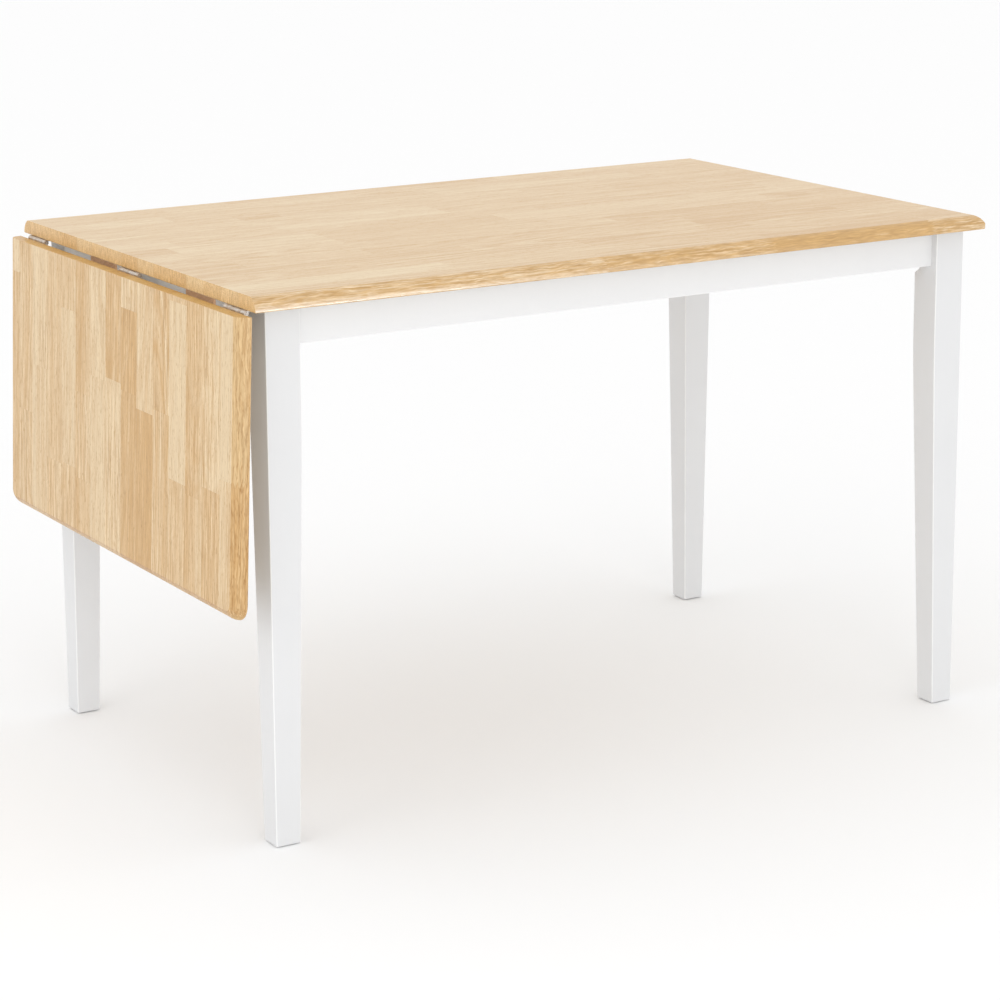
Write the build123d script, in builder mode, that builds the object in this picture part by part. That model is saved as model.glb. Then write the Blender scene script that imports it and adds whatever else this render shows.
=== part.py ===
"""Drop-leaf dining table: a fixed four-leg frame, a solid-wood top and one
hinged leaf at the -X end that hangs down and swings up level with the top.

Frame: millimetres, +Z up, +X along the length of the top away from the leaf.
The origin is on the floor under the middle of the whole outline, with the
leaf hanging.
"""
from math import cos, radians, sin, sqrt
import os

from build123d import *

os.makedirs("parts", exist_ok=True)

# ---------------------------------------------------------------- top and leaf
table_height = 750.0
top_length = 1200.0
top_width = 750.0
board_thick = 20.0
leaf_length = 400.0
joint_gap = 1.5            # between the two square joint edges, leaf raised
round_inset = 14.0         # moulded edge: how far it runs in on the face
round_drop = 18.0          # moulded edge: how far it drops below the face
round_crown = 3.3          # moulded edge: rise of its arc above the chord
top_corner_r = 5.0         # plan radius of the two free corners of the top
leaf_corner_r = 24.0       # plan radius of the two free corners of the leaf
arris = 1.6                # softened lower edges of the boards
hang_out = 2.4             # degrees: the leaf hangs this far outside plumb
x_shift = 20.3             # top centre to the middle of the whole outline

# ------------------------------------------------------------------- base frame
leg_side = 50.0            # square upper part of the leg
leg_foot = 36.0            # square foot of the leg: only the inner faces taper
leg_arris = 1.5
taper_top = 540.0          # height at which the taper's straight line starts
taper_ease = 45.0          # the line is eased over this much above and below
overhang_leaf_end = 28.5   # top beyond the legs at the hinged end
overhang_free_end = 17.5   # top beyond the legs at the other end
overhang_side = 30.5       # top beyond the legs at the long sides
apron_height = 55.0
apron_thick = 20.0
side_setback = 12.0        # face of a long apron behind the leg face
leaf_end_setback = 1.0     # the apron under the leaf is almost flush
free_end_setback = 12.0    # apron of the other end
apron_arris = 1.5
leg_flat = 15.0            # flat on the inner corner of the leg head
flat_runout_r = 22.0       # cutter radius where that flat runs out
glide_thick = 1.0
glide_r = 13.0

# ---------------------------------------------------- corner blocks, hanger bolts
block_gap = 4.2            # block stands off the leg's flat, so the bolt pulls
block_thick = 25.0
block_height = 46.0
bolt_r = 4.0
bolt_length = 80.0
bolt_in_leg = 38.0
washer_r, washer_thick = 10.0, 2.0
nut_flats, nut_thick = 13.0, 6.5
running = 0.05             # clearance of a fastener in its hole

# --------------------------------------------------------- pull-out leaf supports
support_length = 530.0
support_width = 87.0
support_thick = 20.0
support_y = 156.5          # centre line of each support
support_proud = 2.5        # end stands this far out of the apron
support_play = 0.5         # side and top clearance in the notches
peg_r = 5.0
peg_drop = 12.0
support_travel = 230.0     # full draw with the leaf up, set by the peg

# ----------------------------------------------------------------------- hinges
hinge_length = 60.0
hinge_y = (-321.0, 0.0, 321.0)
wing_width = 22.0
wing_thick = 1.5
knuckle_r = 3.4
pin_r = 1.7
pin_drop = 3.6             # pin axis below the underside of the boards
knuckle_gap = 0.3
hinge_tags = ("front", "middle", "back")

# ---------------------------------------------------------------- derived levels
taper_rate = (leg_side - leg_foot) / (taper_top - glide_thick)
leg_sections = [
    (taper_top + taper_ease, leg_side),
    (taper_top + taper_ease / 3, leg_side - taper_rate * taper_ease / 9),
    (taper_top - taper_ease / 3, leg_side - taper_rate * taper_ease * 4 / 9),
    (taper_top - taper_ease, leg_side - taper_rate * taper_ease),
    (glide_thick, leg_foot),
]
z_top = table_height
z_under = table_height - board_thick
z_apron = z_under - apron_height
x_leaf_end = -top_length / 2 + x_shift
x_free_end = top_length / 2 + x_shift
x_pin = x_leaf_end - joint_gap / 2
z_pin = z_under - pin_drop
leg_x0 = x_leaf_end + overhang_leaf_end      # outer faces of the legs
leg_x1 = x_free_end - overhang_free_end
leg_y = top_width / 2 - overhang_side
apron_x0 = leg_x0 + leaf_end_setback         # outer faces of the aprons
apron_x1 = leg_x1 - free_end_setback
apron_y = leg_y - side_setback

# The hanging leaf's own frame: its origin is on the pin, x runs down the leaf
# from the joint edge to the free end, z is the outward normal of its face.
swing = radians(hang_out)
leaf_plane = Plane(
    origin=(x_pin, 0, z_pin),
    x_dir=(-sin(swing), 0, -cos(swing)),
    z_dir=(-cos(swing), 0, sin(swing)),
)
top_plane = Plane(origin=(x_pin, 0, z_pin), x_dir=(1, 0, 0), z_dir=(0, 0, 1))


def at(plane, u, v, w):
    """World point of a plane's local coordinates."""
    return plane.from_local_coords(Vector(u, v, w))


# ------------------------------------------------------------------ wood screws
def wood_screw(head_r, head_h, shank_r, length, pan):
    """Screw along +Z: its head's face is at z = 0, or just below it for a pan
    head, and its point is at z = length. A cross recess is cut in the head."""
    with BuildPart() as screw:
        with BuildSketch(Plane.XZ):
            with BuildLine():
                tip = length - 2 * shank_r
                if pan:
                    Polyline((0, -head_h), (head_r * 0.72, -head_h),
                             (head_r, -head_h * 0.45), (head_r, 0),
                             (shank_r, 0), (shank_r, tip), (0, length),
                             (0, -head_h))
                else:
                    Polyline((0, 0), (head_r, 0), (head_r, 0.2),
                             (shank_r, head_h), (shank_r, tip), (0, length),
                             (0, 0))
            make_face()
        revolve(axis=Axis.Z)
        face_z = -head_h if pan else 0
        recess = head_r * 1.15
        with BuildSketch(Plane.XY.offset(face_z)):
            Rectangle(recess, head_r * 0.24)
            Rectangle(head_r * 0.24, recess)
        extrude(amount=head_h * 0.6, mode=Mode.SUBTRACT)
    return screw.part


hinge_screw = wood_screw(3.1, 1.42, 1.7, 14.0, pan=False)
block_screw = wood_screw(3.8, 2.6, 1.9, 27.0, pan=True)
pocket_screw = wood_screw(4.2, 2.6, 1.9, 29.0, pan=True)


# ------------------------------------------------------- moulded edge of a board
# Section of what the cutter takes off: a flat convex round that starts with a
# crisp line on the face and ends in one at the upright land. In the section x
# runs in from the board's edge and y rises from its face.
round_chord = sqrt(round_inset**2 + round_drop**2)
round_mid = (round_inset / 2 - round_crown * round_drop / round_chord,
             -round_drop / 2 + round_crown * round_inset / round_chord)
round_outer = [(round_inset, 0), (round_inset, 2), (-3, 2), (-3, -round_drop),
               (0, -round_drop)]


def moulded_edge(face, x0, x1, half_width, corner_r):
    """The cutter's path along one long edge, the free end and the other long
    edge of a board, turning with the board's rounded corners."""
    with BuildPart() as waste:
        with BuildLine(face) as path:
            front = Line((x0, -half_width), (x1 - corner_r, -half_width))
            turn = JernArc(front @ 1, front % 1, corner_r, 90)
            end = Line(turn @ 1, (x1, half_width - corner_r))
            turn2 = JernArc(end @ 1, end % 1, corner_r, 90)
            Line(turn2 @ 1, (x0, half_width))
        with BuildSketch(Plane(origin=at(face, x0, -half_width, 0),
                               x_dir=face.y_dir, z_dir=face.x_dir)):
            with BuildLine():
                Polyline(*round_outer)
                ThreePointArc((0, -round_drop), round_mid, (round_inset, 0))
            make_face()
        sweep(path=path.line)
    return waste.part


def mitred_edge(x0, x1, half_width, z):
    """The same moulding run straight along the three edges of the top, so that
    it meets in a mitre at its two almost square corners."""
    runs = [
        (Plane(origin=(x0, -half_width, z), x_dir=(0, 1, 0), z_dir=(1, 0, 0)),
         x1 - x0 + 5),
        (Plane(origin=(x1 + 5, half_width, z), x_dir=(0, -1, 0),
               z_dir=(-1, 0, 0)), x1 - x0 + 5),
        (Plane(origin=(x1, -half_width - 5, z), x_dir=(-1, 0, 0),
               z_dir=(0, 1, 0)), 2 * half_width + 10),
    ]
    with BuildPart() as waste:
        for place, length in runs:
            with BuildSketch(place):
                with BuildLine():
                    Polyline(*round_outer)
                    ThreePointArc((0, -round_drop), round_mid, (round_inset, 0))
                make_face()
            extrude(amount=length)
    return waste.part


# ---------------------------------------------------------------- hinge geometry
hinge_holes = [(11.0, -21.0), (16.0, 0.0), (11.0, 21.0)]


def hinge_screw_places(plane, y):
    """Head positions of the three screws of one wing, pointing into the wood."""
    side = 1 if plane is top_plane else -1
    return [
        Plane(origin=at(plane, u, side * y + v, pin_drop - wing_thick),
              x_dir=plane.x_dir, z_dir=plane.z_dir).location
        for u, v in hinge_holes
    ]


def hinge_wing(plane, y, own, other):
    """One wing with its knuckles. own and other list the knuckles, counted
    along the pin in five equal lengths, of this wing and of the other one."""
    side = 1 if plane is top_plane else -1
    pitch = hinge_length / 5
    v0 = side * y - hinge_length / 2
    with BuildPart() as wing:
        with BuildSketch(plane.offset(pin_drop - wing_thick)):
            with Locations((wing_width / 2, side * y)):
                Rectangle(wing_width, hinge_length)
            for k in other:
                with Locations((knuckle_r / 2 - 0.5, v0 + (k + 0.5) * pitch)):
                    Rectangle(knuckle_r + 2, pitch + knuckle_gap,
                              mode=Mode.SUBTRACT)
        extrude(amount=wing_thick)
        corners = wing.edges().filter_by(
            lambda e: abs(e.tangent_at(0.5).dot(plane.z_dir)) > 0.99
        ).filter_by(
            lambda e: plane.to_local_coords(e @ 0.5).X > wing_width - 0.1
        )
        fillet(corners, 2.5)
        for k in own:
            low = v0 + k * pitch + knuckle_gap / 2
            with BuildSketch(Plane(origin=at(plane, 0, low, 0),
                                   x_dir=plane.x_dir, z_dir=plane.y_dir)):
                Circle(knuckle_r)
            extrude(amount=pitch - knuckle_gap)
        with BuildSketch(Plane(origin=at(plane, 0, v0 - 1, 0),
                               x_dir=plane.x_dir, z_dir=plane.y_dir)):
            Circle(pin_r + running)
        extrude(amount=hinge_length + 2, mode=Mode.SUBTRACT)
        with Locations(*[
            Plane(origin=at(plane, u, side * y + v, pin_drop - wing_thick),
                  x_dir=plane.x_dir, z_dir=-plane.z_dir).location
            for u, v in hinge_holes
        ]):
            CounterSinkHole(radius=1.75, counter_sink_radius=3.4,
                            depth=wing_thick, counter_sink_angle=90)
    return wing


# ---------------------------------------------------- where other pieces are fixed
corners = {
    "front_left": (leg_x0, -leg_y, 1, 1),
    "front_right": (leg_x1, -leg_y, -1, 1),
    "back_left": (leg_x0, leg_y, 1, -1),
    "back_right": (leg_x1, leg_y, -1, -1),
}
block_z = z_apron + apron_height / 2
flat_sum = 2 * leg_side - leg_flat                # p + q on the leg's flat
block_near = flat_sum + block_gap * sqrt(2)       # p + q on the block's near face
block_far = block_near + block_thick * sqrt(2)
# inner faces of the aprons, in from the leg's outer faces
side_in = side_setback + apron_thick
end_in = {
    "left": leaf_end_setback + apron_thick,
    "right": free_end_setback + apron_thick,
}
block_screw_sum = block_near + 28.0               # p + q at the screws' seats
block_screw_seat = 12.0                           # wood of the block under a head


def corner_point(tag, p, q, z):
    """World point p and q in from the outer faces of a leg."""
    x0, y0, dx, dy = corners[tag]
    return Vector(x0 + dx * p, y0 + dy * q, z)


def block_screw_places(tag):
    """Seats of the four screws of one corner block, pointing into the aprons."""
    _, _, dx, dy = corners[tag]
    p = end_in[tag.split("_")[1]] + block_screw_seat
    q = side_in + block_screw_seat
    found = []
    for z in (block_z - 13, block_z + 13):
        found.append(Plane(origin=corner_point(tag, p, block_screw_sum - p, z),
                           z_dir=(-dx, 0, 0)).location)
        found.append(Plane(origin=corner_point(tag, block_screw_sum - q, q, z),
                           z_dir=(0, -dy, 0)).location)
    return found


# Pocket screws hold the aprons and the guide rail up against the top. Each one
# leans 15 degrees; its axis meets the middle of the rail's top edge.
pocket_lean = radians(15)
pocket_head = 15.0                                # along the screw, below the top
rail_x1 = apron_x0 + apron_thick + support_travel + 2 * peg_r + 0.5
rail_x2 = rail_x1 + apron_thick
pocket_rows = []
for x in (-360.0, 20.0, 400.0):
    pocket_rows.append(("front", x, -(apron_y - apron_thick / 2), (0, 1)))
    pocket_rows.append(("back", x, apron_y - apron_thick / 2, (0, -1)))
pocket_rows.append(("leaf_end", apron_x0 + apron_thick / 2, 0.0, (1, 0)))
pocket_rows.append(("free_end", apron_x1 - apron_thick / 2, -120.0, (-1, 0)))
pocket_rows.append(("free_end", apron_x1 - apron_thick / 2, 120.0, (-1, 0)))
pocket_rows.append(("rail", rail_x1 + apron_thick / 2, 0.0, (1, 0)))


def pocket_place(row):
    """Seat of a pocket screw's head, with z along the screw into the top."""
    _, x, y, (ix, iy) = row
    s, c = sin(pocket_lean), cos(pocket_lean)
    origin = (x + ix * s * pocket_head, y + iy * s * pocket_head,
              z_under - c * pocket_head)
    return Plane(origin=origin, x_dir=(-iy, ix, 0),
                 z_dir=(-ix * s, -iy * s, c)).location


def pocket_waste(where):
    """Clearance hole and pocket of each screw of one rail."""
    with BuildPart() as waste:
        for row in pocket_rows:
            if row[0] != where:
                continue
            place = Plane(pocket_place(row))
            with BuildSketch(place):
                Circle(1.9 + running)
            extrude(amount=pocket_head + 5)
            with BuildSketch(place):
                Circle(4.8)
            extrude(amount=-45)
    return waste.part


def support_notches(x_mid):
    """The two open notches that carry the supports, in a rail across the table."""
    with BuildPart() as waste:
        for y in (-support_y, support_y):
            with BuildSketch(Plane.XY.offset(z_under - support_thick
                                             - support_play - 0.2)):
                with Locations((x_mid, y)):
                    Rectangle(apron_thick + 10, support_width + 2 * support_play)
            extrude(amount=support_thick + 10)
    return waste.part


# ====================================================================== tabletop
top_waste = mitred_edge(x_leaf_end - 5, x_free_end, top_width / 2, z_top)
with BuildPart() as tabletop:
    with BuildSketch(Plane.XY.offset(z_under)) as outline:
        with Locations((x_shift, 0)):
            Rectangle(top_length, top_width)
        fillet(outline.vertices().group_by(Axis.X)[-1], top_corner_r)
    extrude(amount=board_thick)
    add(top_waste, mode=Mode.SUBTRACT)
    fillet(tabletop.faces().sort_by(Axis.Z)[0].outer_wire().edges(), arris)
    for y in hinge_y:
        with Locations(*[loc for loc in hinge_screw_places(top_plane, y)]):
            Cylinder(1.7 + running, 14.3, align=(Align.CENTER, Align.CENTER,
                                                 Align.MIN), mode=Mode.SUBTRACT)
    with Locations(*[pocket_place(row) for row in pocket_rows]):
        Cylinder(1.9 + running, 29.5, align=(Align.CENTER, Align.CENTER,
                                             Align.MIN), mode=Mode.SUBTRACT)
tabletop.part.label = "tabletop"
export_step(tabletop.part, "parts/tabletop.step")

# ========================================================================== leaf
leaf_u0 = joint_gap / 2
leaf_u1 = leaf_u0 + leaf_length
leaf_waste = moulded_edge(leaf_plane.offset(pin_drop + board_thick), leaf_u0 - 5,
                          leaf_u1, top_width / 2, leaf_corner_r)
with BuildPart() as leaf:
    with BuildSketch(leaf_plane.offset(pin_drop)):
        with BuildLine():
            half = top_width / 2
            edge = Polyline((leaf_u1 - leaf_corner_r, -half), (leaf_u0, -half),
                            (leaf_u0, half), (leaf_u1 - leaf_corner_r, half))
            RadiusArc((leaf_u1 - leaf_corner_r, half),
                      (leaf_u1, half - leaf_corner_r), leaf_corner_r)
            Line((leaf_u1, half - leaf_corner_r), (leaf_u1, -half + leaf_corner_r))
            RadiusArc((leaf_u1, -half + leaf_corner_r),
                      (leaf_u1 - leaf_corner_r, -half), leaf_corner_r)
        make_face()
    extrude(amount=board_thick)
    add(leaf_waste, mode=Mode.SUBTRACT)
    inner = leaf.faces().sort_by(
        Axis(leaf_plane.origin, leaf_plane.z_dir))[0]
    fillet(inner.outer_wire().edges(), arris)
    for y in hinge_y:
        with Locations(*[loc for loc in hinge_screw_places(leaf_plane, y)]):
            Cylinder(1.7 + running, 14.3, align=(Align.CENTER, Align.CENTER,
                                                 Align.MIN), mode=Mode.SUBTRACT)
leaf.part.label = "leaf"
export_step(leaf.part, "parts/leaf.step")

# ========================================================================== legs
for tag, (x0, y0, dx, dy) in corners.items():
    with BuildPart() as leg:
        # square upper part
        with BuildSketch(Plane.XY.offset(taper_top + taper_ease)):
            with Locations((x0 + dx * leg_side / 2, y0 + dy * leg_side / 2)):
                RectangleRounded(leg_side, leg_side, leg_arris)
        extrude(amount=z_under - taper_top - taper_ease)
        # taper: both outer faces stay upright, both inner ones run in
        for z, side in leg_sections:
            with BuildSketch(Plane.XY.offset(z)):
                with Locations((x0 + dx * side / 2, y0 + dy * side / 2)):
                    RectangleRounded(side, side, leg_arris)
        loft(ruled=True)
        fillet(leg.faces().sort_by(Axis.Z)[0].outer_wire().edges(), 1.2)
        # flat on the inner corner for the hanger bolt, run out in a hollow
        mid = corner_point(tag, flat_sum / 2, flat_sum / 2, 0)
        side_plane = Plane(origin=mid, x_dir=(dx, dy, 0),
                           z_dir=Vector(dx, dy, 0).cross(Vector(0, 0, 1)))
        up = 1 if side_plane.y_dir.Z > 0 else -1
        z_flat = z_apron + 3.5
        with BuildSketch(side_plane):
            with BuildLine():
                reach = 13.0
                drop = sqrt(flat_runout_r**2 - (flat_runout_r - reach) ** 2)
                Polyline((0, up * z_flat), (0, up * (z_under + 5)),
                         (reach, up * (z_under + 5)), (reach, up * (z_flat - drop)))
                ThreePointArc(
                    (reach, up * (z_flat - drop)),
                    (flat_runout_r * (1 - cos(0.5)),
                     up * (z_flat - flat_runout_r * sin(0.5))),
                    (0, up * z_flat))
            make_face()
        extrude(amount=20, both=True, mode=Mode.SUBTRACT)
        # hole for the wood-threaded half of the hanger bolt
        bolt_axis = Plane(origin=corner_point(tag, flat_sum / 2, flat_sum / 2, block_z),
                          z_dir=(dx, dy, 0))
        with BuildSketch(bolt_axis):
            Circle(bolt_r + running)
        extrude(amount=-bolt_in_leg - 1, mode=Mode.SUBTRACT)
    leg.part.label = f"leg_{tag}"
    export_step(leg.part, f"parts/leg_{tag}.step")

    with BuildPart() as block:
        with BuildSketch(Plane.XY.offset(block_z - block_height / 2)):
            with BuildLine():
                p_in = end_in[tag.split("_")[1]]
                ring = [(p_in, block_near - p_in), (p_in, block_far - p_in),
                        (block_far - side_in, side_in),
                        (block_near - side_in, side_in)]
                Polyline(*[(x0 + dx * p, y0 + dy * q) for p, q in ring], close=True)
            make_face()
        extrude(amount=block_height)
        far = block.faces().filter_by(Axis.Z)
        chamfer(far.edges().filter_by(lambda e: abs(
            abs(e.tangent_at(0.5).X) - abs(e.tangent_at(0.5).Y)) < 0.1
        ).filter_by(lambda e: abs(
            abs((e @ 0.5).X - x0) + abs((e @ 0.5).Y - y0) - block_far) < 0.5), 2)
        with BuildSketch(bolt_axis):
            Circle(bolt_r + 0.4)
        extrude(amount=80, mode=Mode.SUBTRACT)
        for place in block_screw_places(tag):
            with BuildSketch(Plane(place)):
                Circle(1.9 + running)
            extrude(amount=20, mode=Mode.SUBTRACT)
            with BuildSketch(Plane(place)):
                Circle(4.4)
            extrude(amount=-30, mode=Mode.SUBTRACT)
    block.part.label = f"corner_block_{tag}"
    export_step(block.part, f"parts/corner_block_{tag}.step")

# ======================================================================== aprons
for tag, sign in (("front", 1), ("back", -1)):
    waste = pocket_waste(tag)
    with BuildPart() as apron:
        length = leg_x1 - leg_x0 - 2 * leg_side
        with BuildSketch(Plane.XY.offset(z_apron)):
            with Locations(((leg_x0 + leg_x1) / 2,
                            -sign * (apron_y - apron_thick / 2))):
                Rectangle(length, apron_thick)
        extrude(amount=apron_height)
        fillet(apron.edges().filter_by(Axis.X).group_by(Axis.Z)[0], apron_arris)
        add(waste, mode=Mode.SUBTRACT)
        # screws of the corner blocks, and dowels of the guide rail
        for corner in (f"{tag}_left", f"{tag}_right"):
            for place in block_screw_places(corner)[1::2]:
                with BuildSketch(Plane(place)):
                    Circle(1.9 + running)
                extrude(amount=27.5, mode=Mode.SUBTRACT)
        for z in (z_apron + 13, z_apron + 29):
            with BuildSketch(Plane(origin=(rail_x1 + apron_thick / 2,
                                           -sign * (apron_y - apron_thick), z),
                                   z_dir=(0, sign, 0))):
                Circle(4 + running)
            extrude(amount=-12.5, mode=Mode.SUBTRACT)
    apron.part.label = f"apron_{tag}"
    export_step(apron.part, f"parts/apron_{tag}.step")

end_length = 2 * leg_y - 2 * leg_side
waste_end = pocket_waste("leaf_end")
notch_end = support_notches(apron_x0 + apron_thick / 2)
with BuildPart() as apron_leaf_end:
    with BuildSketch(Plane.XY.offset(z_apron)):
        with Locations((apron_x0 + apron_thick / 2, 0)):
            Rectangle(apron_thick, end_length)
    extrude(amount=apron_height)
    fillet(apron_leaf_end.edges().filter_by(Axis.Y).group_by(Axis.Z)[0], apron_arris)
    add(notch_end, mode=Mode.SUBTRACT)
    add(waste_end, mode=Mode.SUBTRACT)
    for corner in ("front_left", "back_left"):
        for place in block_screw_places(corner)[0::2]:
            with BuildSketch(Plane(place)):
                Circle(1.9 + running)
            extrude(amount=27.5, mode=Mode.SUBTRACT)
apron_leaf_end.part.label = "apron_leaf_end"
export_step(apron_leaf_end.part, "parts/apron_leaf_end.step")

waste_free = pocket_waste("free_end")
with BuildPart() as apron_free_end:
    with BuildSketch(Plane.XY.offset(z_apron)):
        with Locations((apron_x1 - apron_thick / 2, 0)):
            Rectangle(apron_thick, end_length)
    extrude(amount=apron_height)
    fillet(apron_free_end.edges().filter_by(Axis.Y).group_by(Axis.Z)[0], apron_arris)
    add(waste_free, mode=Mode.SUBTRACT)
    for corner in ("front_right", "back_right"):
        for place in block_screw_places(corner)[0::2]:
            with BuildSketch(Plane(place)):
                Circle(1.9 + running)
            extrude(amount=27.5, mode=Mode.SUBTRACT)
apron_free_end.part.label = "apron_free_end"
export_step(apron_free_end.part, "parts/apron_free_end.step")

# ==================================================== guide rail and its dowels
rail_half = apron_y - apron_thick
waste_rail = pocket_waste("rail")
notch_rail = support_notches(rail_x1 + apron_thick / 2)
with BuildPart() as guide_rail:
    with BuildSketch(Plane.XY.offset(z_apron)):
        with Locations((rail_x1 + apron_thick / 2, 0)):
            Rectangle(apron_thick, 2 * rail_half)
    extrude(amount=apron_height)
    fillet(guide_rail.edges().filter_by(Axis.Y).group_by(Axis.Z)[0], apron_arris)
    add(notch_rail, mode=Mode.SUBTRACT)
    add(waste_rail, mode=Mode.SUBTRACT)
    for sign in (1, -1):
        for z in (z_apron + 13, z_apron + 29):
            with BuildSketch(Plane(origin=(rail_x1 + apron_thick / 2,
                                           -sign * rail_half, z),
                                   z_dir=(0, sign, 0))):
                Circle(4 + running)
            extrude(amount=22.5, mode=Mode.SUBTRACT)
guide_rail.part.label = "guide_rail"
export_step(guide_rail.part, "parts/guide_rail.step")

with BuildPart() as guide_rail_dowels:
    for sign in (1, -1):
        for z in (z_apron + 13, z_apron + 29):
            with BuildSketch(Plane(origin=(rail_x1 + apron_thick / 2,
                                           -sign * (rail_half + 12), z),
                                   z_dir=(0, sign, 0))):
                Circle(4)
            extrude(amount=34)
    chamfer(guide_rail_dowels.edges().filter_by(GeomType.CIRCLE), 0.8)
guide_rail_dowels.part.label = "guide_rail_dowels"
export_step(guide_rail_dowels.part, "parts/guide_rail_dowels.step")

# ============================================================= pull-out supports
x_support = apron_x0 - support_proud
z_support = z_under - support_play - support_thick
x_peg = rail_x1 - 0.3 - peg_r
for tag, y in (("front", -support_y), ("back", support_y)):
    with BuildPart() as support:
        with BuildSketch(Plane.XY.offset(z_support)):
            with Locations((x_support + support_length / 2, y)):
                RectangleRounded(support_length, support_width, 3)
        extrude(amount=support_thick)
        chamfer(support.faces().sort_by(Axis.Z)[0].outer_wire().edges(), 1.0)
        chamfer(support.faces().sort_by(Axis.Z)[-1].outer_wire().edges(), 1.0)
        with BuildSketch(Plane.XY.offset(z_support)):
            with Locations((x_peg, y)):
                Circle(peg_r + running)
        extrude(amount=15.5, mode=Mode.SUBTRACT)
    support.part.label = f"support_slide_{tag}"
    export_step(support.part, f"parts/support_slide_{tag}.step")

    with BuildPart() as stop_peg:
        with BuildSketch(Plane.XY.offset(z_support - peg_drop)):
            with Locations((x_peg, y)):
                Circle(peg_r)
        extrude(amount=peg_drop + 15)
        chamfer(stop_peg.edges().filter_by(GeomType.CIRCLE), 0.8)
    stop_peg.part.label = f"stop_peg_{tag}"
    export_step(stop_peg.part, f"parts/stop_peg_{tag}.step")

# ======================================================================== hinges
for tag, y in zip(hinge_tags, hinge_y):
    fixed_wing = hinge_wing(top_plane, y, own=(0, 2, 4), other=(1, 3))
    fixed_wing.part.label = f"hinge_top_wing_{tag}"
    export_step(fixed_wing.part, f"parts/hinge_top_wing_{tag}.step")

    swing_wing = hinge_wing(leaf_plane, y, own=(1, 3), other=(0, 2, 4))
    swing_wing.part.label = f"hinge_leaf_wing_{tag}"
    export_step(swing_wing.part, f"parts/hinge_leaf_wing_{tag}.step")

    with BuildPart() as hinge_pin:
        with BuildSketch(Plane(origin=(x_pin, y - hinge_length / 2 - 0.6, z_pin),
                               z_dir=(0, 1, 0))):
            Circle(pin_r)
        extrude(amount=hinge_length + 1.2)
        fillet(hinge_pin.edges().filter_by(GeomType.CIRCLE), 0.5)
    hinge_pin.part.label = f"hinge_pin_{tag}"
    export_step(hinge_pin.part, f"parts/hinge_pin_{tag}.step")

with BuildPart() as hinge_screws_top:
    for y in hinge_y:
        with Locations(*hinge_screw_places(top_plane, y)):
            add(hinge_screw)
hinge_screws_top.part.label = "hinge_screws_top"
export_step(hinge_screws_top.part, "parts/hinge_screws_top.step")

with BuildPart() as hinge_screws_leaf:
    for y in hinge_y:
        with Locations(*hinge_screw_places(leaf_plane, y)):
            add(hinge_screw)
hinge_screws_leaf.part.label = "hinge_screws_leaf"
export_step(hinge_screws_leaf.part, "parts/hinge_screws_leaf.step")

# ============================================================== frame fasteners
with BuildPart() as corner_block_screws:
    for tag in corners:
        with Locations(*block_screw_places(tag)):
            add(block_screw)
corner_block_screws.part.label = "corner_block_screws"
export_step(corner_block_screws.part, "parts/corner_block_screws.step")

with BuildPart() as pocket_screws:
    with Locations(*[pocket_place(row) for row in pocket_rows]):
        add(pocket_screw)
pocket_screws.part.label = "pocket_screws"
export_step(pocket_screws.part, "parts/pocket_screws.step")

# Hanger bolt along +Z from its wood end, with machine-thread grooves on the end
# that stands out of the nut.
with BuildPart() as one_bolt:
    with BuildSketch(Plane.XZ):
        with BuildLine():
            outline = [(0, 0), (1.2, 0), (bolt_r, 6)]
            z = bolt_length - 22.0
            outline.append((bolt_r, z))
            while z + 1.25 < bolt_length - 1.5:
                outline += [(bolt_r - 0.55, z + 0.625), (bolt_r, z + 1.25)]
                z += 1.25
            outline += [(bolt_r - 1.0, bolt_length), (0, bolt_length)]
            Polyline(*outline, close=True)
        make_face()
    revolve(axis=Axis.Z)
with BuildPart() as one_washer:
    with BuildSketch():
        Circle(washer_r)
        Circle(bolt_r + 0.3, mode=Mode.SUBTRACT)
    extrude(amount=washer_thick)
    chamfer(one_washer.edges().filter_by(GeomType.CIRCLE).group_by(Axis.Z)[-1]
            .sort_by(SortBy.RADIUS)[-1], 0.4)
with BuildPart() as one_nut:
    with BuildSketch():
        RegularPolygon(nut_flats / 2, 6, major_radius=False)
    extrude(amount=nut_thick)
    with BuildSketch(Plane.XZ):
        with BuildLine():
            r = nut_flats / 2
            Polyline((0, 0), (r - 0.2, 0), (r + 1.1, 0.75), (r + 1.1, nut_thick - 0.75),
                     (r - 0.2, nut_thick), (0, nut_thick), close=True)
        make_face()
    revolve(axis=Axis.Z, mode=Mode.INTERSECT)
    with BuildSketch():
        Circle(bolt_r + running)
    extrude(amount=nut_thick, mode=Mode.SUBTRACT)
    chamfer(one_nut.edges().filter_by(GeomType.CIRCLE).filter_by(
        lambda e: abs(e.radius - bolt_r - running) < 0.01), 0.4)


def bolt_place(tag, along):
    """Place on a hanger bolt's axis, measured in from the leg's flat."""
    _, _, dx, dy = corners[tag]
    p = flat_sum / 2 + along / sqrt(2)
    return Plane(origin=corner_point(tag, p, p, block_z), z_dir=(dx, dy, 0)).location


with BuildPart() as hanger_bolts:
    with Locations(*[bolt_place(tag, -bolt_in_leg) for tag in corners]):
        add(one_bolt.part)
hanger_bolts.part.label = "hanger_bolts"
export_step(hanger_bolts.part, "parts/hanger_bolts.step")

with BuildPart() as hanger_bolt_washers:
    with Locations(*[bolt_place(tag, block_gap + block_thick) for tag in corners]):
        add(one_washer.part)
hanger_bolt_washers.part.label = "hanger_bolt_washers"
export_step(hanger_bolt_washers.part, "parts/hanger_bolt_washers.step")

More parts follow.
